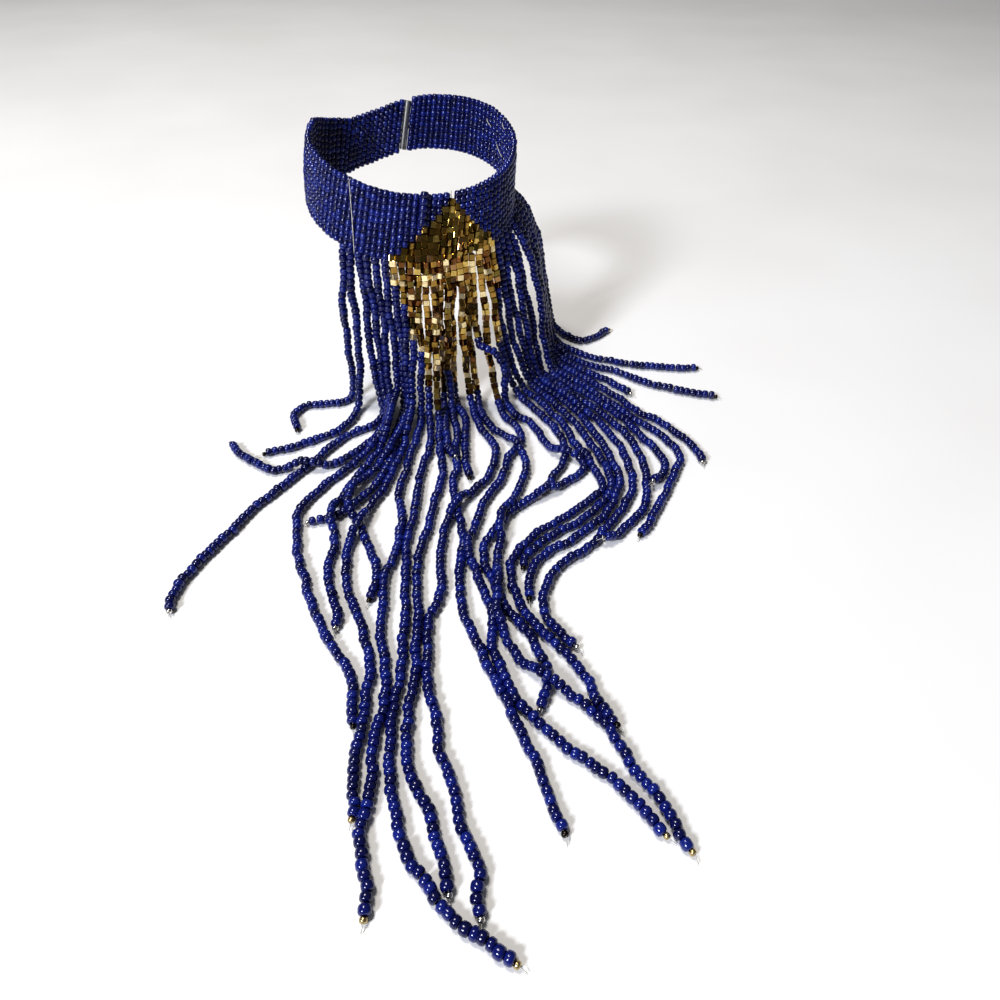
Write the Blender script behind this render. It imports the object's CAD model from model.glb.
import math
import random

import bpy
import numpy as np
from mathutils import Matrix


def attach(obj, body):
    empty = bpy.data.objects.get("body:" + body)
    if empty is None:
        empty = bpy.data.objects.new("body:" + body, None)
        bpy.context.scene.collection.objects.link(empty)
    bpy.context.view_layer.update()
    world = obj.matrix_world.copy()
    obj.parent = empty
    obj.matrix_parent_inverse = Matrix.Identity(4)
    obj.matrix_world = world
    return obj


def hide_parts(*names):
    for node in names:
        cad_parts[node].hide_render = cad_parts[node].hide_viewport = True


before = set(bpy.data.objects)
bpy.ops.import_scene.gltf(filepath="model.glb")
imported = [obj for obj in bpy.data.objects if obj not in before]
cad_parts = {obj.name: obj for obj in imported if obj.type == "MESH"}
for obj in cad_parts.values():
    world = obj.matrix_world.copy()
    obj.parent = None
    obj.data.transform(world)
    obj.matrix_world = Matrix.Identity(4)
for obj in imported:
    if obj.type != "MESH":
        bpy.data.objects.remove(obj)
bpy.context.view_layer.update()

mm = 0.001   # lengths are kept in millimetres here; Blender takes metres

camera = {
    "place": (48.0, -418.0, 135.0),
    "down": 42.8,   # degrees below level, looking along +Y
    "lens": 25.992,
    "sensor": 36.0,
    "near": 10.0,
}


def addCamera():
    data = bpy.data.cameras.new("camera")
    data.lens = camera["lens"]
    data.sensor_width = camera["sensor"]
    data.clip_start = camera["near"] * mm
    cameraObject = bpy.data.objects.new("camera", data)
    bpy.context.scene.collection.objects.link(cameraObject)
    cameraObject.location = [v * mm for v in camera["place"]]
    cameraObject.rotation_euler = (math.radians(90 - camera["down"]), 0, 0)
    bpy.context.scene.camera = cameraObject


addCamera()
print("camera in place")


def toLinear(hexColour):
    shares = [int(hexColour[i:i + 2], 16) / 255 for i in (1, 3, 5)]
    return tuple(s / 12.92 if s <= 0.04045 else ((s + 0.055) / 1.055) ** 2.4 for s in shares) + (1.0,)


def newMaterial(name, hexColour, roughness, metallic=0.0):
    material = bpy.data.materials.new(name)
    material.use_nodes = True
    tree = material.node_tree
    shader = tree.nodes["Principled BSDF"]
    shader.inputs["Base Color"].default_value = toLinear(hexColour)
    shader.inputs["Roughness"].default_value = roughness
    shader.inputs["Metallic"].default_value = metallic
    return material, tree, shader


def addNode(tree, kind, settings={}, links={}):
    node = tree.nodes.new(kind)
    for key, value in settings.items():
        if isinstance(key, int) or key in node.inputs:
            node.inputs[key].default_value = value
        else:
            setattr(node, key, value)
    for key, source in links.items():
        tree.links.new(source, node.inputs[key])
    return node


def setStops(ramp, stops, interpolation="LINEAR"):
    ramp.color_ramp.interpolation = interpolation
    elements = ramp.color_ramp.elements
    while len(elements) < len(stops):
        elements.new(0.5)
    for element, (position, colour) in zip(elements, stops):
        element.position = position
        element.color = toLinear(colour)


noiseLow, noiseHigh = 0.3, 0.7   # nearly all of a noise texture's values lie between these

# Opaque cobalt seed glass, drawn as a tube, cut and tumbled in a kiln: round shoulders and a wet
# gloss, with each bead a shade apart and faint drawing streaks
cobaltGlass = {
    "shades": [(0.0, "#060b40"), (0.35, "#0a1354"), (0.7, "#0e1b66"), (1.0, "#152576")],
    "ior": 1.5,
    "mirror": 0.6,        # the pores of tumbled glass dim its mirror
    "roughness": (0.1, 0.22),
    "streak": 0.5,        # mm between the drawing streaks
    "streakShade": 0.3,   # how far they move a bead's shade
    "ripple": 0.03, "rippleHeight": 0.1,   # strength, and mm
}


def makeCobaltGlass():
    material, tree, shader = newMaterial("cobalt_seed_glass", "#121c76", 0.12)
    shader.inputs["IOR"].default_value = cobaltGlass["ior"]
    shader.inputs["Specular IOR Level"].default_value = cobaltGlass["mirror"]
    tone = addNode(tree, "ShaderNodeAttribute", {"attribute_name": "tone"})
    place = addNode(tree, "ShaderNodeTexCoord")
    streaks = addNode(tree, "ShaderNodeTexNoise",
                      {"Scale": 1 / (cobaltGlass["streak"] * mm), "Detail": 2.0},
                      {"Vector": place.outputs["Object"]})
    shade = addNode(tree, "ShaderNodeMath",
                    {"operation": "MULTIPLY_ADD", 1: cobaltGlass["streakShade"]},
                    {0: streaks.outputs["Fac"], 2: tone.outputs["Fac"]})
    centred = addNode(tree, "ShaderNodeMath",
                      {"operation": "SUBTRACT", 1: cobaltGlass["streakShade"] / 2},
                      {0: shade.outputs[0]})
    colours = addNode(tree, "ShaderNodeValToRGB", {}, {"Fac": centred.outputs[0]})
    setStops(colours, cobaltGlass["shades"])
    low, high = cobaltGlass["roughness"]
    polish = addNode(tree, "ShaderNodeMapRange",
                     {"From Min": noiseLow, "From Max": noiseHigh, "To Min": low, "To Max": high},
                     {"Value": streaks.outputs["Fac"]})
    bump = addNode(tree, "ShaderNodeBump",
                   {"Strength": cobaltGlass["ripple"], "Distance": cobaltGlass["rippleHeight"] * mm},
                   {"Height": streaks.outputs["Fac"]})
    tree.links.new(colours.outputs["Color"], shader.inputs["Base Color"])
    tree.links.new(polish.outputs["Result"], shader.inputs["Roughness"])
    tree.links.new(bump.outputs["Normal"], shader.inputs["Normal"])
    return material


# Square-cut glass with a fired bronze and gold metal coat: flat mirror faces, each bead plated a
# little differently, so brown, olive and rosy gold beads stand side by side
platedGlass = {
    "shades": [(0.0, "#7a5430"), (0.2, "#987a3c"), (0.38, "#b28e4a"), (0.54, "#84723a"),
               (0.66, "#d4b668"), (0.78, "#b08a5e"), (0.83, "#ffe9b4")],
    "pale": 0.83,            # from this tone on the coat scatters light, so that whole faces flash
    "paleMetallic": 0.78,
    "roughness": (0.06, 0.16),
    "mottle": 1.1,           # mm across the patches of thinner coat
    "thin": (0.35, 0.75),    # noise values over which the coat thins out
    "thinMost": 0.35,        # share of the dark ground that then shows through
    "ground": "#3c2c18",
}


def makePlatedGlass():
    material, tree, shader = newMaterial("bronze_plated_glass", "#8a6a38", 0.14, 1.0)
    tone = addNode(tree, "ShaderNodeAttribute", {"attribute_name": "tone"})
    place = addNode(tree, "ShaderNodeTexCoord")
    colours = addNode(tree, "ShaderNodeValToRGB", {}, {"Fac": tone.outputs["Fac"]})
    setStops(colours, platedGlass["shades"], "CONSTANT")
    mottle = addNode(tree, "ShaderNodeTexNoise",
                     {"Scale": 1 / (platedGlass["mottle"] * mm), "Detail": 3.0},
                     {"Vector": place.outputs["Object"]})
    low, high = platedGlass["thin"]
    thin = addNode(tree, "ShaderNodeMapRange",
                   {"From Min": low, "From Max": high, "To Max": platedGlass["thinMost"]},
                   {"Value": mottle.outputs["Fac"]})
    worn = addNode(tree, "ShaderNodeMix", {"data_type": "RGBA", 7: toLinear(platedGlass["ground"])},
                   {0: thin.outputs["Result"], 6: colours.outputs["Color"]})
    low, high = platedGlass["roughness"]
    polish = addNode(tree, "ShaderNodeMapRange",
                     {"From Min": noiseLow, "From Max": noiseHigh, "To Min": low, "To Max": high},
                     {"Value": mottle.outputs["Fac"]})
    pale = addNode(tree, "ShaderNodeMath", {"operation": "GREATER_THAN", 1: platedGlass["pale"]},
                   {0: tone.outputs["Fac"]})
    coat = addNode(tree, "ShaderNodeMapRange", {"To Min": 1.0, "To Max": platedGlass["paleMetallic"]},
                   {"Value": pale.outputs[0]})
    tree.links.new(worn.outputs[2], shader.inputs["Base Color"])
    tree.links.new(coat.outputs["Result"], shader.inputs["Metallic"])
    tree.links.new(polish.outputs["Result"], shader.inputs["Roughness"])
    return material


# Clear nylon monofilament, drawn: a pale grey line with a soft gloss
nylonLine = {
    "shades": [(0.35, "#a39d92"), (0.65, "#d6d2c8")],
    "ior": 1.53,
    "roughness": 0.35,
    "waves": 0.6,   # mm between its clearer and duller places
}


def makeNylon():
    material, tree, shader = newMaterial("drawn_nylon_thread", "#b9b4aa", nylonLine["roughness"])
    shader.inputs["IOR"].default_value = nylonLine["ior"]
    place = addNode(tree, "ShaderNodeTexCoord")
    waves = addNode(tree, "ShaderNodeTexNoise", {"Scale": 1 / (nylonLine["waves"] * mm)},
                    {"Vector": place.outputs["Object"]})
    colours = addNode(tree, "ShaderNodeValToRGB", {}, {"Fac": waves.outputs["Fac"]})
    setStops(colours, nylonLine["shades"])
    tree.links.new(colours.outputs["Color"], shader.inputs["Base Color"])
    return material


# Navy beading thread, twisted and waxed: a matt dark ground that fills the gaps between the beads
waxedThread = {
    "shades": [(0.35, "#04071c"), (0.65, "#0a1038")],
    "roughness": 0.85,
    "twist": 0.4,   # mm a turn
    "relief": 0.3, "reliefHeight": 0.1,   # strength, and mm
}


def makeThread():
    material, tree, shader = newMaterial("waxed_navy_thread", "#060a2c", waxedThread["roughness"])
    place = addNode(tree, "ShaderNodeTexCoord")
    twist = addNode(tree, "ShaderNodeTexNoise", {"Scale": 1 / (waxedThread["twist"] * mm)},
                    {"Vector": place.outputs["Object"]})
    colours = addNode(tree, "ShaderNodeValToRGB", {}, {"Fac": twist.outputs["Fac"]})
    setStops(colours, waxedThread["shades"])
    bump = addNode(tree, "ShaderNodeBump",
                   {"Strength": waxedThread["relief"], "Distance": waxedThread["reliefHeight"] * mm},
                   {"Height": twist.outputs["Fac"]})
    tree.links.new(colours.outputs["Color"], shader.inputs["Base Color"])
    tree.links.new(bump.outputs["Normal"], shader.inputs["Normal"])
    return material


# Steel, cast and brushed: fine scratches along the bar, duller in the valleys
brushedSteel = {
    "colour": "#b4b2ad",
    "roughness": (0.22, 0.42),
    "scratch": (0.15, 0.15, 4.0),   # mm across a scratch, and along it
    "relief": 0.15, "reliefHeight": 0.05,   # strength, and mm
}


def makeBrushedSteel():
    material, tree, shader = newMaterial("brushed_steel", brushedSteel["colour"], 0.32, 1.0)
    place = addNode(tree, "ShaderNodeTexCoord")
    along = addNode(tree, "ShaderNodeMapping",
                    {"Scale": [1 / (size * mm) for size in brushedSteel["scratch"]]},
                    {"Vector": place.outputs["Object"]})
    scratches = addNode(tree, "ShaderNodeTexNoise", {"Scale": 1.0, "Detail": 3.0},
                        {"Vector": along.outputs["Vector"]})
    low, high = brushedSteel["roughness"]
    polish = addNode(tree, "ShaderNodeMapRange",
                     {"From Min": noiseLow, "From Max": noiseHigh, "To Min": low, "To Max": high},
                     {"Value": scratches.outputs["Fac"]})
    bump = addNode(tree, "ShaderNodeBump",
                   {"Strength": brushedSteel["relief"], "Distance": brushedSteel["reliefHeight"] * mm},
                   {"Height": scratches.outputs["Fac"]})
    tree.links.new(polish.outputs["Result"], shader.inputs["Roughness"])
    tree.links.new(bump.outputs["Normal"], shader.inputs["Normal"])
    return material


# Small stop beads: plated metal, tumbled, so its gloss is a little uneven
stopPlatings = {
    # colour and roughness
    "tumbled_brass": ("#b8a478", 0.3),
    "tumbled_silver_plate": ("#c9c7c2", 0.2),
    "tumbled_gunmetal": ("#34302c", 0.25),
}
stopDulling = {"patch": 0.7, "smoother": 0.08, "rougher": 0.1}   # mm across a dull place; roughness


def makeStopMetal(name):
    colour, roughness = stopPlatings[name]
    material, tree, shader = newMaterial(name, colour, roughness, 1.0)
    place = addNode(tree, "ShaderNodeTexCoord")
    dull = addNode(tree, "ShaderNodeTexNoise", {"Scale": 1 / (stopDulling["patch"] * mm)},
                   {"Vector": place.outputs["Object"]})
    polish = addNode(tree, "ShaderNodeMapRange",
                     {"From Min": noiseLow, "From Max": noiseHigh,
                      "To Min": roughness - stopDulling["smoother"],
                      "To Max": roughness + stopDulling["rougher"]},
                     {"Value": dull.outputs["Fac"]})
    tree.links.new(polish.outputs["Result"], shader.inputs["Roughness"])
    return material


cobalt = makeCobaltGlass()
plated = makePlatedGlass()
nylon = makeNylon()
thread = makeThread()
steel = makeBrushedSteel()
stopMetals = {
    "gold": makeStopMetal("tumbled_brass"),
    "silver": makeStopMetal("tumbled_silver_plate"),
    "dark": makeStopMetal("tumbled_gunmetal"),
}
print("materials made")


def addMesh(name, vertices, faces, material, smooth, tones=None):
    mesh = bpy.data.meshes.new(name)
    mesh.from_pydata(np.asarray(vertices) * mm, [], faces)
    mesh.polygons.foreach_set("use_smooth", np.full(len(mesh.polygons), smooth))
    if tones is not None:
        attribute = mesh.attributes.new("tone", "FLOAT", "POINT")
        attribute.data.foreach_set("value", np.asarray(tones, dtype=np.float32))
    mesh.materials.append(material)
    mesh.update()
    piece = bpy.data.objects.new(name, mesh)
    bpy.context.scene.collection.objects.link(piece)
    return piece


def finishPiece(piece, slot, *nodes):
    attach(piece, "root")
    if nodes:
        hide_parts(*nodes)


def unit(v):
    v = np.asarray(v, float)
    return v / np.linalg.norm(v, axis=-1, keepdims=True)


draw = random.Random(11)


def scatter(most):
    # a small push in any direction
    return np.array([draw.uniform(-1, 1) for _ in range(3)]) * most


# A bead's section: places along its hole, as shares of half its length, and shares of its radius
roundBead = [(-0.7, 0.28), (-0.99, 0.38), (-0.96, 0.6), (-0.74, 0.85), (-0.38, 0.97), (0.38, 0.97),
             (0.74, 0.85), (0.96, 0.6), (0.99, 0.38)]
cubeBead = [(-0.8, 0.3), (-1.0, 0.42), (-1.0, 0.86), (-0.9, 1.0), (0.9, 1.0), (1.0, 0.86),
            (1.0, 0.42), (0.8, 0.3)]
cubeCorner = [(1.0, -0.74), (1.0, 0.74), (0.91, 0.91)]   # flat face and rounded edge of a cut bead
bandSides, fringeSides, loopSides = 10, 12, 16   # flats round a round bead, more where it shows more


def circle(sides):
    angles = (np.arange(sides) + 0.5) * 2 * math.pi / sides
    return np.stack([np.cos(angles), np.sin(angles)], 1)


def softSquare():
    turns = ((1, 0), (0, 1), (-1, 0), (0, -1))
    return np.array([(x * c - y * s, x * s + y * c) for c, s in turns for x, y in cubeCorner])


def beadMesh(beads, shape, outline):
    # each bead is a closed ring of quads round its hole: the section, taken round the outline
    centre = np.array([b["centre"] for b in beads])
    axis = unit([b["axis"] for b in beads])
    side = np.array([b["side"] for b in beads], float)
    side = unit(side - (side * axis).sum(1, keepdims=True) * axis)
    other = np.cross(axis, side)
    half = np.array([b["half"] for b in beads])
    radius = np.array([b["radius"] for b in beads])
    along = np.array([s[0] for s in shape])
    share = np.array([s[1] for s in shape])
    rings, sides = len(shape), len(outline)
    around = (side[:, None, None] * outline[None, None, :, :1]
              + other[:, None, None] * outline[None, None, :, 1:])
    points = (centre[:, None, None]
              + axis[:, None, None] * (half[:, None] * along)[:, :, None, None]
              + (radius[:, None] * share)[:, :, None, None] * around)
    ring, turn = np.meshgrid(np.arange(rings), np.arange(sides), indexing="ij")
    nextRing, nextTurn = (ring + 1) % rings, (turn + 1) % sides
    quads = np.stack([ring * sides + turn, nextRing * sides + turn, nextRing * sides + nextTurn,
                      ring * sides + nextTurn], -1).reshape(-1, 4)[:, ::-1]
    first = np.arange(len(beads)) * rings * sides
    faces = (quads[None] + first[:, None, None]).reshape(-1, 4)
    tones = np.repeat([b["tone"] for b in beads], rings * sides)
    return points.reshape(-1, 3), faces, tones


def tubeMesh(path, radius, sides):
    path = np.asarray(path, float)
    heading = unit(np.gradient(path, axis=0))
    sideways = np.cross(heading[0], (0.3, 0.2, 1.0))   # a direction that no thread takes
    vertices, faces = [], []
    for point, ahead in zip(path, heading):
        sideways = unit(sideways - np.dot(sideways, ahead) * ahead)
        up = np.cross(ahead, sideways)
        vertices += [point + radius * (c * sideways + s * up) for c, s in circle(sides)]
    for i in range(len(path) - 1):
        for j in range(sides):
            a, b = i * sides + j, i * sides + (j + 1) % sides
            faces.append((a, b, b + sides, a + sides))
    faces.append(tuple(range(sides))[::-1])
    faces.append(tuple(range(len(vertices) - sides, len(vertices))))
    return vertices, faces


collar = {
    "topRadius": 54.4, "bottomRadius": 58.0, "thickness": 3.3,
    "topCentre": (3.0, 5.5, 14.2), "bottomCentre": (-1.9, -4.3, -15.0),
    "frontTilt": 13.5, "sideTilt": -4.2,   # degrees that the collar hangs lower at the front and left
    "seam": 100.0, "seamHalf": 2.5,        # degrees, the clasp's place at the back
    "sag": [(40, 0), (60, -2), (90, -6), (120, -12), (140, -13), (155, -8), (170, -1), (180, 0)],
    "bulge": [(130, 0), (160, 5), (190, 5), (215, 2), (235, 0)],
}


def lookUp(x, table):
    return np.interp(x, [row[0] for row in table], [row[1] for row in table])


def rim(angle, share, depth=0.0):
    # a point of the band: angle in degrees, share of the height, depth in from the outer face
    radius = (collar["bottomRadius"] + (collar["topRadius"] - collar["bottomRadius"]) * share
              + lookUp(angle % 360, collar["bulge"]) * math.sin(math.radians(90 * share)) - depth)
    low, high = np.array(collar["bottomCentre"]), np.array(collar["topCentre"])
    x = radius * math.cos(math.radians(angle))
    y = radius * math.sin(math.radians(angle))
    lift = (x * math.tan(math.radians(collar["sideTilt"])) + y * math.tan(math.radians(collar["frontTilt"]))
            + lookUp(angle % 360, collar["sag"]))
    return low + (high - low) * share + np.array([x, y, lift])


band = {
    "columns": 107, "rows": 10,
    "width": 3.6,       # mm across a bead
    "goldWidth": 3.42,
    "widthSpread": (0.47, 0.525),   # a bead's radius as a share of its width
    "lengthSpread": (0.88, 1.12),
    "overlap": 1.03,    # a bead's length against its share of the column
    "wobble": 0.18,     # mm that a bead sits in or out of line
    "columnSway": 0.2, "beadSway": 0.16,   # degrees round the neck
    "tilt": 0.07, "goldTilt": 2.6,         # sideways share, and how much more of it gold beads have
    "goldTurn": 0.4,    # sideways share by which a gold bead faces away from the middle
    "goldTones": (0.2, 0.835),   # the triangle has almost none of the palest coats
    # gold rows at each angle, counted from the lower edge
    "goldRows": [(262.6, 0), (262.7, 1), (267, 1.2), (270, 2.1), (273.4, 3.1), (276.7, 4.3), (280, 5.1),
                 (290, 8.1), (293.3, 9.2), (296.6, 8.2), (313.2, 3.1), (319.8, 1.6), (321.6, 1),
                 (321.7, 0)],
    "openTop": (290.0, 294.5),   # the apex column stops a bead short of the upper edge
}
columnStep = (360 - 2 * collar["seamHalf"]) / band["columns"]
columnAngles = [collar["seam"] + collar["seamHalf"] + (column + 0.5) * columnStep
                for column in range(band["columns"])]


def hasOpenTop(angle):
    return band["openTop"][0] < angle < band["openTop"][1]


def bandBead(angle, low, high):
    share = (low + high) / 2
    turn = angle + draw.uniform(-band["beadSway"], band["beadSway"])
    depth = collar["thickness"] / 2 + draw.uniform(-1, 1) * band["wobble"]
    height = float(np.linalg.norm(rim(turn, 1, depth) - rim(turn, 0, depth)))
    return {
        "centre": rim(turn, share, depth),
        "up": unit(rim(turn, share + 0.05, depth) - rim(turn, share - 0.05, depth)),   # up the wall
        "side": unit(rim(turn, share, 0) - rim(turn, share, 2)),   # straight out of it
        "lean": scatter(band["tilt"]),
        "half": height * (high - low) / 2,
        "radius": draw.uniform(*band["widthSpread"]),
        "tone": draw.random(),
    }


def bandBeads():
    blue, gold = [], []
    for angle in columnAngles:
        lengths = [draw.uniform(*band["lengthSpread"]) for _ in range(band["rows"])]
        edges = [sum(lengths[:k]) / sum(lengths) for k in range(band["rows"] + 1)]
        goldCount = round(float(lookUp(angle, band["goldRows"])))
        sway = draw.uniform(-band["columnSway"], band["columnSway"])
        for row in range(band["rows"] - 1 if hasOpenTop(angle) else band["rows"]):
            bead = bandBead(angle + sway, edges[row], edges[row + 1])
            if row < goldCount:
                bead["side"] = bead["side"] + scatter(band["goldTurn"])
                bead["axis"] = bead["up"] + bead["lean"] * band["goldTilt"]
                bead["radius"] *= band["goldWidth"]
                bead["tone"] = np.interp(bead["tone"], (0, 1), band["goldTones"])
                gold.append(bead)
            else:
                bead["axis"] = bead["up"] + bead["lean"]
                bead["radius"] *= band["width"]
                bead["half"] *= band["overlap"]
                blue.append(bead)
    return blue, gold


def addBeads(name, beads, shape, outline, material, smooth, slot, *nodes):
    vertices, faces, tones = beadMesh(beads, shape, outline)
    finishPiece(addMesh(name, vertices, faces, material, smooth, tones), slot, *nodes)


def addRoundBeads(name, beads, sides, node):
    addBeads(name, beads, roundBead, circle(sides), cobalt, True, "blue_beads", node)


def addCubeBeads(name, beads, node):
    addBeads(name, beads, cubeBead, softSquare(), plated, False, "gold_beads", node)


blueBand, goldBand = bandBeads()
addRoundBeads("band_beads", blueBand, bandSides, "collar_band")
addCubeBeads("triangle_beads", goldBand, "gold_triangle")
print("band:", len(blueBand), "blue and", len(goldBand), "gold beads")

weave = {
    "from": 1.3, "to": 2.1,   # mm under the outer face
    "low": 0.03, "top": 0.97, "openTop": 0.88,   # shares of the band's height
    "half": 0.52,             # half its width, in columns
    "steps": 11,
}


def bandWeave():
    # the threads that the columns are stitched with close the gaps between the beads
    vertices, faces = [], []
    half = weave["half"]
    corners = ((-half, "from"), (half, "from"), (half, "to"), (-half, "to"))
    for angle in columnAngles:
        first = len(vertices)
        top = weave["openTop"] if hasOpenTop(angle) else weave["top"]
        for share in np.linspace(weave["low"], top, weave["steps"]):
            for turn, depth in corners:
                vertices.append(rim(angle + turn * columnStep, share, weave[depth]))
        for k in range(weave["steps"] - 1):
            a = first + 4 * k
            faces += [(a + i, a + (i + 1) % 4, a + 4 + (i + 1) % 4, a + 4 + i) for i in range(4)]
        faces.append((first + 3, first + 2, first + 1, first))
        faces.append(tuple(range(len(vertices) - 4, len(vertices))))
    return vertices, faces


finishPiece(addMesh("band_weave", *bandWeave(), thread, False), "blue_beads")

loopColumn = {
    "angle": 277.3, "top": 1.1, "low": 0.6,   # degrees, and shares of the band's height
    "beads": 5, "radius": 2.2,
    "depth": -2.1,     # mm, so the beads stand proud of the outer face
    "overlap": 1.04,
    "radiusSpread": (0.96, 1.03),
}


def loopBeads():
    edges = np.linspace(loopColumn["top"], loopColumn["low"], loopColumn["beads"] + 1)
    beads = []
    for top, low in zip(edges[:-1], edges[1:]):
        above, below = (rim(loopColumn["angle"], s, loopColumn["depth"]) for s in (top, low))
        beads.append({"centre": (above + below) / 2, "axis": above - below, "side": (1, 0, 0),
                      "half": np.linalg.norm(above - below) / 2 * loopColumn["overlap"],
                      "radius": loopColumn["radius"] * draw.uniform(*loopColumn["radiusSpread"]),
                      "tone": draw.random()})
    return beads


addRoundBeads("loop_beads", loopBeads(), loopSides, "loop_column")
print("weave and proud column made")

fringe = {
    "tableDrop": 115.0,     # mm from the origin down to the table
    "tube": 3.7,            # the solids' bead diameter
    "goldLength": 3.36,     # mm of string that one gold bead takes
    "clear": 4.1,           # mm between the middles of strings that lie on each other
    "limpness": 0.05,       # 1/mm, how fast a string falls away from one that it lies over
    # angle, shares of a hanging string's way out and down to where it bends; at the side they stand
    # off before they fall
    "outBend": [(235, 1.6), (244, 0.4), (325, 0.4), (342, 0.95)],
    "downBend": [(325, 0.6), (342, 0.38), (345, 0.22)],
    "turn": 12.0, "turnEnd": 4.0,   # mm of string that turn onto the table, and the room they need
    "stitch": 0.8,          # mm from the band's edge to the first bead
    "tuck": 0.01,           # share of a hanging string's way that is tucked into the band
    "hangSteps": 60,
    "fine": 1.5,            # mm between the points of a path
    # mm long and mm high, the bends that a string keeps where it hangs and where it lies
    "waves": [(17.0, 0.22), (33.0, 0.4), (71.0, 0.6)],
    "kinks": [(13.0, 0.25), (29.0, 0.35)],
    "goldWaves": 0.8,       # share of them in the heavier gold beads
    "goldFade": 20.0,       # mm under the gold beads until the bends are whole
    "calm": 18.0,           # mm at each end of the hanging part without them
    "steep": 0.8,           # a string with a larger upright share than this hangs
}
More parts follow.
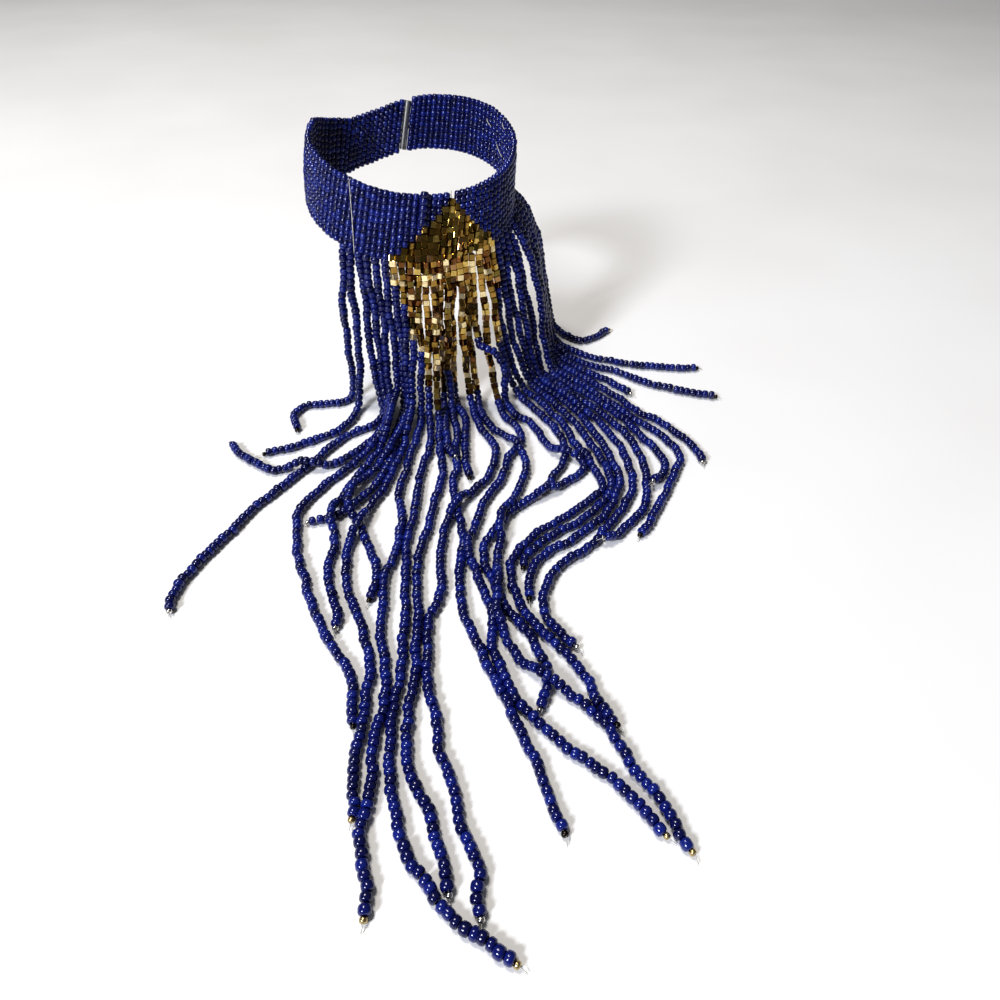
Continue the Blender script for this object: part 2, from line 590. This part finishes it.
# number, angle on the collar, gold beads, stop bead, points on the table, and for the string that
# swings aside also points where it hangs; each lies over those above it here
strings = [
    ("01", 235, 0, "dark", [[-39, -54], [-41, -62], [-47, -66], [-56, -67], [-65, -68], [-70, -74],
     [-70, -82], [-67, -91]]),
    ("02", 240, 0, "dark", [[-33, -64], [-37, -82], [-44, -94], [-54, -101], [-65, -107], [-79, -113]]),
    ("03", 245, 0, "silver", [[-25, -59], [-20, -72], [-20, -81], [-26, -90], [-35, -95], [-43, -105],
     [-51, -118], [-59, -132], [-68, -145], [-76, -159], [-85, -179], [-94, -199], [-96, -210],
     [-96, -220]]),
    ("04", 250, 0, "dark", [[-21, -58], [-17, -72], [-17, -84], [-21, -97], [-29, -111], [-38, -120],
     [-48, -124], [-61, -124], [-72, -127], [-82, -122], [-91, -115], [-100, -105]]),
    ("05", 255, 0, "dark", [[-17, -60], [-15, -75], [-16, -91], [-21, -105], [-28, -118], [-36, -130],
     [-45, -143], [-51, -155], [-51, -168], [-48, -182], [-42, -199], [-35, -215], [-28, -230],
     [-18, -244], [-12, -254], [-9, -265], [-8, -275]]),
    ("07", 264.5, 4, "silver", [[-8, -61], [-8, -76], [-10, -92], [-10, -108], [-12, -126], [-18, -142],
     [-26, -155], [-36, -163], [-45, -166]]),
    ("06", 260, 0, "silver", [[-12, -57], [-12, -72], [-14, -89], [-16, -106], [-21, -118], [-25, -129],
     [-30, -142], [-34, -154], [-34, -166], [-30, -183], [-31, -197], [-28, -208], [-23, -219],
     [-22, -229]]),
    ("08", 268.6, 7, "dark", [[-5, -65], [-6, -80], [-8, -96], [-11, -111], [-16, -122], [-22, -134],
     [-28, -144], [-27, -156], [-20, -170], [-13, -184], [-8, -201], [-9, -214]]),
    ("09", 273, 13, "gold", [[-2, -69], [-3, -84], [-4, -99], [-6, -115], [-9, -131], [-13, -146],
     [-18, -160], [-23, -180], [-23, -196], [-17, -216], [-10, -231], [-5, -247], [-4, -258],
     [-4, -273], [-5, -286], [-4, -299], [-3, -310]]),
    ("10", 277.2, 15, "gold", [[2, -72], [3, -88], [1, -104], [-1, -122], [-3, -138], [-3, -150],
     [0, -166], [-1, -186], [-4, -203], [-3, -222], [-1, -239], [3, -257], [3, -268], [1, -278],
     [2, -291], [2, -304], [1, -315], [3, -326], [5, -333], [6, -341]]),
    ("11", 281.3, 21, "gold", [[7, -74], [9, -92], [9, -112], [6, -132], [6, -152], [4, -183],
     [6, -209], [8, -239], [8, -256], [7, -275], [8, -290], [11, -306], [16, -320], [22, -329],
     [30, -339], [39, -345], [52, -354]]),
    ("12", 285.2, 25, "silver", [[12, -75], [14, -90], [15, -108], [18, -126], [16, -144], [13, -171],
     [10, -193], [12, -215], [14, -250], [13, -273], [14, -289], [22, -306], [27, -318], [30, -326],
     [31, -334]]),
    ("15", 296.2, 23, "dark", [[19, -52], [24, -71], [28, -82], [29, -96], [29, -112], [32, -132]]),
    ("14", 292.6, 19, "dark", [[18, -64], [21, -78], [24, -96], [24, -112], [25, -126], [24, -137],
     [25, -149], [28, -161], [30, -175], [30, -191], [30, -209], [34, -227], [41, -244], [48, -260],
     [56, -278], [61, -291], [65, -302], [69, -315]]),
    ("13", 288.7, 24, "silver", [[14, -58], [17, -82], [18, -100], [20, -111], [24, -119]]),
    ("16", 299.8, 24, "silver", [[30, -64], [34, -80], [39, -94], [45, -107], [45, -121], [40, -135],
     [33, -146], [25, -157], [20, -183], [22, -206], [18, -226], [18, -241], [20, -260], [24, -274],
     [26, -286], [32, -302], [36, -316], [41, -326], [41, -333], [42, -341]]),
    ("19", 313, 26, "gold", [[46, -64], [51, -80], [58, -91], [60, -103], [53, -115], [50, -131],
     [43, -145], [37, -164], [33, -185], [37, -199], [42, -213], [45, -226], [45, -239], [49, -253],
     [58, -269], [70, -282], [83, -293], [95, -304], [103, -316]]),
    ("20", 317.8, 17, "dark", [[54, -50], [62, -63], [72, -78], [80, -94], [84, -110], [78, -129],
     [70, -143]]),
    ("18", 308, 14, "silver", [[50, -50], [51, -65], [57, -78], [66, -86], [72, -102], [79, -112],
     [91, -119], [92, -128], [82, -137], [71, -145], [62, -151], [54, -158], [47, -170], [41, -180],
     [41, -191], [45, -205], [51, -219], [59, -232], [64, -242], [67, -252], [64, -268]],
     [[35, -54, -74], [38, -60, -79], [44, -64, -80], [50, -64, -87], [51, -62, -98]]),
    ("17", 303.3, 24, "gold", [[34, -58], [37, -75], [44, -90], [55, -104], [61, -117], [61, -131],
     [56, -147], [49, -163], [48, -178], [47, -194], [47, -209], [47, -223], [51, -237], [59, -249],
     [68, -257], [78, -264], [86, -273], [92, -283], [98, -296], [105, -306], [111, -321]]),
    ("21", 322.4, 8, "dark", [[58, -47], [70, -62], [83, -85], [90, -106], [97, -124], [101, -139],
     [95, -149], [81, -162], [67, -173], [56, -186], [53, -200], [56, -215], [65, -231], [76, -244],
     [82, -254], [86, -266], [92, -275]]),
    ("22", 326.8, 0, "dark", [[63, -41], [75, -59], [86, -77], [95, -96], [102, -117], [106, -133],
     [102, -149], [89, -164], [73, -176], [62, -186], [59, -195]]),
    ("23", 331.6, 0, "dark", [[65, -37], [76, -52], [88, -67], [99, -89], [106, -111], [110, -132],
     [106, -150], [95, -167], [81, -179], [70, -187], [62, -199], [61, -213]]),
    ("24", 336.3, 0, "silver", [[68, -33], [78, -49], [91, -65], [104, -84], [113, -105], [117, -127],
     [114, -148], [102, -167], [93, -180], [79, -192], [70, -203], [67, -217], [71, -230], [79, -239]]),
    ("25", 341.1, 0, "silver", [[70, -28], [81, -44], [93, -59], [108, -78], [119, -98], [124, -117],
     [124, -140], [118, -159], [107, -172], [98, -179]]),
    ("26", 345.8, 0, "silver", [[76, -26], [84, -40], [96, -53], [111, -71], [123, -90], [133, -111],
     [136, -125], [127, -138]]),
    ("27", 350.6, 0, "dark", [[77, -17], [85, -33], [99, -48], [112, -65], [127, -84], [139, -99],
     [145, -113], [141, -127], [131, -148], [122, -165], [116, -174]]),
    ("28", 355.3, 0, "silver", [[77, -8], [87, -25], [100, -40], [113, -54], [127, -73], [143, -89],
     [153, -105], [157, -119]]),
    ("29", 360.1, 0, "silver", [[78, 0], [89, -19], [99, -30], [113, -42], [126, -55]]),
    ("30", 364.8, 0, "dark", [[78, 8], [88, -10], [101, -23], [120, -32], [140, -46], [157, -53],
     [176, -59]]),
    ("31", 369.6, 0, "dark", [[79, 17], [91, -4], [106, -15], [124, -22], [149, -27], [171, -28]]),
    ("32", 374.3, 0, "gold", [[80, 33], [90, 15], [101, 5], [111, 10], [121, 19]]),
]
floorZ = -fringe["tableDrop"] + fringe["tube"] / 2


def layOut(points):
    # a smooth path through the points
    points = [np.array(p, float) for p in points]
    before = 2 * points[0] - points[1]
    after = 2 * points[-1] - points[-2]
    whole = [before] + points + [after]
    path = []
    for a, b, c, d in zip(whole, whole[1:], whole[2:], whole[3:]):
        for t in np.arange(0, 1, 1 / math.ceil(np.linalg.norm(c - b) / fringe["fine"])):
            path.append(0.5 * (2 * b + (c - a) * t + (2 * a - 5 * b + 4 * c - d) * t ** 2
                               + (3 * b - a - 3 * c + d) * t ** 3))
    return np.array(path + [points[-1]])


def runOf(path):
    # length of the path up to each of its points
    return np.concatenate([[0], np.cumsum(np.linalg.norm(np.diff(path, axis=0), axis=1))])


def alongPath(path, places):
    run = runOf(path)
    return np.stack([np.interp(places, run, path[:, k]) for k in range(3)], -1)


def tablePoints(points):
    points = [np.array(p, float) for p in points]
    if np.linalg.norm(points[1] - points[0]) > fringe["turn"] + fringe["turnEnd"]:
        return [points[0] + unit(points[1] - points[0]) * fringe["turn"]] + points[1:]
    return points[1:]


def settle(flat, below):
    # height of a limp string over the strings already laid
    reach = fringe["clear"]
    need = np.full(len(flat), floorZ)
    if len(below):
        gap = ((flat[:, None] - below[None, :, :2]) ** 2).sum(-1)
        over = below[None, :, 2] + np.sqrt(np.maximum(reach ** 2 - gap, 0))
        need = np.maximum(need, np.where(gap < reach ** 2, over, floorZ).max(1))
    run = runOf(flat)
    fall = fringe["limpness"] * (run[:, None] - run[None]) ** 2
    return np.maximum(floorZ, (need[None] - fall).max(1))


def hang(angle, points, first, held):
    # the part that hangs from the band's edge and turns onto the table
    top = rim(angle, 0, collar["thickness"] / 2) - np.array([0, 0, fringe["stitch"]])
    if held:
        return layOut([top] + held[0] + [first])[:-1]
    foot = np.array(points[0], float)
    out = np.array([foot[0] - top[0], foot[1] - top[1], 0])
    sink = (top[2] - floorZ) * lookUp(angle, fringe["downBend"])
    bend = top + out * lookUp(angle, fringe["outBend"]) - np.array([0, 0, sink])
    heading = unit(np.array(points[1], float) - foot)
    room = np.linalg.norm(first[:2] - foot) + fringe["turnEnd"]
    back = heading * min(fringe["turn"] + fringe["turnEnd"], room)
    low = first - np.array([back[0], back[1], 0])
    t = np.linspace(-fringe["tuck"], 1, fringe["hangSteps"] + 1)[:-1, None]
    return (1 - t) ** 3 * top + 3 * (1 - t) ** 2 * t * bend + 3 * (1 - t) * t ** 2 * low + t ** 3 * first


def ripple(run, waves):
    return sum(high * np.sin(run / length * 2 * math.pi + draw.uniform(0, 2 * math.pi))
               for length, high in waves)


def wave(path, hanging, gold):
    # small bends to the sides and in and out, only sideways where the string lies
    run = runOf(path)
    ahead = unit(np.gradient(path, axis=0))
    upright = np.arange(len(path)) < hanging
    facing = np.where(upright[:, None], (0.0, -1.0, 0.2), (0.0, 0.0, 1.0))   # front, or up where it lies
    aside = unit(np.cross(ahead, facing))
    across = np.cross(aside, ahead)
    calm = fringe["calm"]
    fade = np.minimum(1, np.abs(run - run[hanging]) / calm) * np.minimum(1, run / calm)
    underGold = run - gold * fringe["goldLength"]
    fade *= np.interp(underGold, [0, fringe["goldFade"]], [fringe["goldWaves"], 1])
    sideways = np.where(upright, ripple(run, fringe["waves"]), ripple(run, fringe["kinks"]))
    inward = np.where(upright, ripple(run, fringe["waves"]), 0)
    return path + aside * (fade * sideways)[:, None] + across * (fade * inward)[:, None]


def restOnTable(centre, radius):
    centre = centre.copy()
    centre[2] = max(centre[2], -fringe["tableDrop"] + radius)
    return centre


goldString = {
    "side": 3.58,      # mm across a bead
    "lengthSpread": (0.9, 0.97), "sideSpread": (0.93, 1.02),
    "twist": 30,       # most degrees that a bead turns from the one above it
    "jump": 45, "jumpShare": 0.5,   # more degrees, and the share of beads that get them
    "tilt": 0.13,      # sideways share of a bead's direction
    "reach": 1.2,      # mm of string to each side that give it
}


def goldBeads(path, count):
    beads = []
    twist = draw.uniform(0, 90)
    for k in range(count):
        middle = (k + 0.5) * fringe["goldLength"]
        reach = goldString["reach"]
        start, centre, end = alongPath(path, [middle - reach, middle, middle + reach])
        twist += draw.uniform(-goldString["twist"], goldString["twist"])
        if draw.random() < goldString["jumpShare"]:
            twist += draw.uniform(-goldString["jump"], goldString["jump"])
        turn = math.radians(twist)
        beads.append({"centre": centre, "axis": unit(end - start) + scatter(goldString["tilt"]),
                      "side": (math.cos(turn), math.sin(turn), 0.05),
                      "half": fringe["goldLength"] / 2 * draw.uniform(*goldString["lengthSpread"]),
                      "radius": goldString["side"] / 2 * draw.uniform(*goldString["sideSpread"]),
                      "tone": draw.random()})
    return beads


blueString = {
    "length": (2.6, 4.0), "width": (4.3, 5.15),   # mm, from the smallest bead to the largest
    "shortest": 1.5,   # mm of string that is too short for one more
    "overlap": 1.03,   # a bead's length against its share of the string
    "tilt": 0.12,      # sideways share of a bead's direction
    "aside": 0.28,     # mm out of line
    "reach": 1.3,      # mm of string to each side that give its direction
    "lyingSide": (0.3, 0.1, 1.0), "hangingSide": (1.0, 0.1, 0.2),
}


def blueBeads(path, start):
    length = runOf(path)[-1] - start
    shares = []
    while sum(shares) < length - blueString["shortest"]:
        shares.append(draw.triangular(*blueString["length"]))
    squeeze = length / sum(shares)
    beads, place = [], start
    for share in shares:
        middle = place + share * squeeze / 2
        place += share * squeeze
        reach = blueString["reach"]
        behind, centre, ahead = alongPath(path, [middle - reach, middle, middle + reach])
        radius = draw.triangular(*blueString["width"]) / 2
        axis = unit(ahead - behind) + scatter(blueString["tilt"])
        aside = np.array([draw.uniform(-1, 1), draw.uniform(-1, 1), 0]) * blueString["aside"]
        side = "lyingSide" if abs(axis[2]) < fringe["steep"] else "hangingSide"
        beads.append({"centre": restOnTable(centre + aside, radius), "axis": axis,
                      "side": blueString[side], "half": share * squeeze / 2 * blueString["overlap"],
                      "radius": radius, "tone": draw.random()})
    return beads


stopBead = {
    "radius": (1.15, 1.5), "half": 1.0,
    "beyond": 1.1,   # mm from the string's end to the bead's middle
    "reach": 3.0,    # mm of string that give its direction
    "tilt": 0.1,
    "lyingSide": (0.2, 0.1, 1.0), "hangingSide": (1.0, 0.1, 0.1),
}
threadEnd = {
    "radius": 0.16, "sides": 5,
    "inside": 4.0, "out": 2.2,   # mm back into the string, and straight out past its end
    "step": 0.8, "bend": 0.4,    # mm on and aside for each point of the loose tip
    "most": 0.9,     # largest share of that bend, to either side
    "sink": (0, 0, 0, 0.3, 0.7, 1.0),   # mm that each point sinks
    "lift": 0.2,     # mm over the table
}


def addStopBead(number, path, kind):
    end = path[-1]
    axis = unit(end - alongPath(path, [runOf(path)[-1] - stopBead["reach"]])[0])
    radius = draw.uniform(*stopBead["radius"])
    tilted = axis + (0, 0, draw.uniform(-stopBead["tilt"], stopBead["tilt"]))
    side = "hangingSide" if abs(axis[2]) > fringe["steep"] else "lyingSide"
    bead = {"centre": restOnTable(end + axis * stopBead["beyond"], radius), "axis": tilted,
            "side": stopBead[side], "half": stopBead["half"], "radius": radius, "tone": 0.5}
    addBeads("stop_bead_" + number, [bead], roundBead, circle(fringeSides), stopMetals[kind], True,
             "gold_beads" if kind == "gold" else "clasp_metal")
    return end, axis


def addThreadEnd(number, end, axis):
    path = [end - axis * threadEnd["inside"], end, end + axis * threadEnd["out"]]
    share = draw.uniform(-threadEnd["most"], threadEnd["most"])
    aside = np.array([-axis[1], axis[0], 0])
    for k in range(1, 4):
        path.append(end + axis * (threadEnd["out"] + k * threadEnd["step"])
                    + aside * share * k * threadEnd["bend"])
    path = np.array(path)
    path[:, 2] = np.maximum(path[:, 2] - np.array(threadEnd["sink"]),
                            -fringe["tableDrop"] + threadEnd["lift"])
    vertices, faces = tubeMesh(path, threadEnd["radius"], threadEnd["sides"])
    finishPiece(addMesh("thread_end_" + number, vertices, faces, nylon, True), "clasp_metal")


def layStrings():
    below = np.zeros((0, 3))
    blueCount = goldCount = 0
    for number, angle, gold, kind, points, *held in strings:
        flat = layOut(tablePoints(points))
        lying = np.column_stack([flat, settle(flat, below)])
        below = np.concatenate([below, lying])
        falling = hang(angle, points, lying[0], held)
        path = wave(np.concatenate([falling, lying]), len(falling), gold)
        if gold:
            addCubeBeads("gold_beads_" + number, goldBeads(path, gold), "gold_run_" + number)
        beads = blueBeads(path, gold * fringe["goldLength"])
        addRoundBeads("blue_beads_" + number, beads, fringeSides, "string_" + number)
        addThreadEnd(number, *addStopBead(number, path, kind))
        blueCount += len(beads)
        goldCount += gold
    print("fringe:", blueCount, "blue and", goldCount, "gold beads")


layStrings()

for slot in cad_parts["clasp"].material_slots:
    slot.material = steel   # the clasp's own bar stays

looseThread = {
    "from": (235.0, 1.0), "to": (244.0, 0.0),   # degrees, and share of the band's height
    "proud": 0.5,       # mm outside the outer face
    "tuck": 1.0,        # mm that its ends go in
    "bow": 0.5,         # degrees aside at its middle
    "radius": 0.22, "sides": 6, "points": 40,
}


def addLooseThread():
    (angle, share), (toAngle, toShare) = looseThread["from"], looseThread["to"]
    path = []
    for t in np.linspace(0, 1, looseThread["points"]):
        bow = looseThread["bow"] * math.sin(math.pi * t)
        path.append(rim(angle + (toAngle - angle) * t + bow, share + (toShare - share) * t,
                        -looseThread["proud"]))
    path[0] = rim(angle, share, looseThread["tuck"])
    path[-1] = rim(toAngle, toShare, looseThread["tuck"])
    vertices, faces = tubeMesh(path, looseThread["radius"], looseThread["sides"])
    finishPiece(addMesh("loose_thread", vertices, faces, nylon, True), "clasp_metal")


addLooseThread()

bareThreads = {
    "radius": 0.2, "sides": 5, "points": 9,
    "bow": 0.5,   # mm deeper at the middle
    # angle and height share at each end, and mm in from the outer face: first two over the gap above
    # the gold apex, then those inside the collar
    "ends": [(290.6, 0.86, 289.8, 1.02, 1.2), (293.2, 0.86, 292.4, 1.02, 1.4),
             (42, 0.78, 37, 0.7, 3.6), (30, 0.5, 22, 0.4, 3.6), (24, 0.95, 20, 0.9, 3.6),
             (182, 0.8, 186, 0.86, 3.6), (202, 0.62, 206, 0.7, 3.6)],
}


def addBareThreads():
    vertices, faces = [], []
    for angle, share, toAngle, toShare, depth in bareThreads["ends"]:
        path = [rim(angle + (toAngle - angle) * t, share + (toShare - share) * t,
                    depth + bareThreads["bow"] * math.sin(math.pi * t))
                for t in np.linspace(0, 1, bareThreads["points"])]
        more, quads = tubeMesh(path, bareThreads["radius"], bareThreads["sides"])
        faces += [tuple(v + len(vertices) for v in face) for face in quads]
        vertices += more
    finishPiece(addMesh("bare_threads", vertices, faces, nylon, True), "clasp_metal")


addBareThreads()
print("threads added")

floor = {
    "size": 6000.0,
    "shades": [(0.3, "#f4f2ee"), (0.7, "#f9f8f5")],
    "roughness": 0.5,
    "cloud": 180.0,   # mm across its paler and greyer places
}


# Laminate, pressed with a satin plate: pale, with a faint cloud of grey and a soft sheen
def makeLaminate():
    material, tree, shader = newMaterial("pale_laminate", "#f7f5f1", floor["roughness"])
    place = addNode(tree, "ShaderNodeTexCoord")
    cloud = addNode(tree, "ShaderNodeTexNoise", {"Scale": 1 / (floor["cloud"] * mm), "Detail": 2.0},
                    {"Vector": place.outputs["Object"]})
    colours = addNode(tree, "ShaderNodeValToRGB", {}, {"Fac": cloud.outputs["Fac"]})
    setStops(colours, floor["shades"])
    tree.links.new(colours.outputs["Color"], shader.inputs["Base Color"])
    return material


def addFloor():
    half = floor["size"] / 2
    z = -fringe["tableDrop"]
    corners = [(-half, -half, z), (half, -half, z), (half, half, z), (-half, half, z)]
    addMesh("table_top", corners, [(0, 1, 2, 3)], makeLaminate(), False)


studio = {
    "worldColour": "#eef0f6", "worldStrength": 0.15,
    "look": "Medium High Contrast",
    # place, aim and size in mm, watts, colour
    "ceiling": ((-600, 450, 2200), (0, -120, -100), (700, 700), 30, "#fffbf6"),
    "window": ((-1050, -1350, 1125), (0, -120, -60), (460, 460), 35, "#eef3ff"),
}


def addLight(name):
    place, aim, size, power, colour = studio[name]
    data = bpy.data.lights.new(name, "AREA")
    data.shape = "RECTANGLE"
    data.size, data.size_y = (v * mm for v in size)
    data.energy = power
    data.color = toLinear(colour)[:3]
    light = bpy.data.objects.new(name, data)
    bpy.context.scene.collection.objects.link(light)
    place, aim = np.array(place, float), np.array(aim, float)
    light.location = place * mm
    away = unit(place - aim)
    light.rotation_euler = (math.acos(away[2]), 0, math.atan2(away[0], -away[1]))


def addStudio():
    world = bpy.data.worlds.new("studio")
    bpy.context.scene.world = world
    world.use_nodes = True
    background = world.node_tree.nodes["Background"]
    background.inputs["Color"].default_value = toLinear(studio["worldColour"])
    background.inputs["Strength"].default_value = studio["worldStrength"]
    addLight("ceiling")
    addLight("window")
    bpy.context.scene.view_settings.view_transform = "Standard"
    bpy.context.scene.view_settings.look = studio["look"]


addFloor()
addStudio()
print("floor and lights in place")
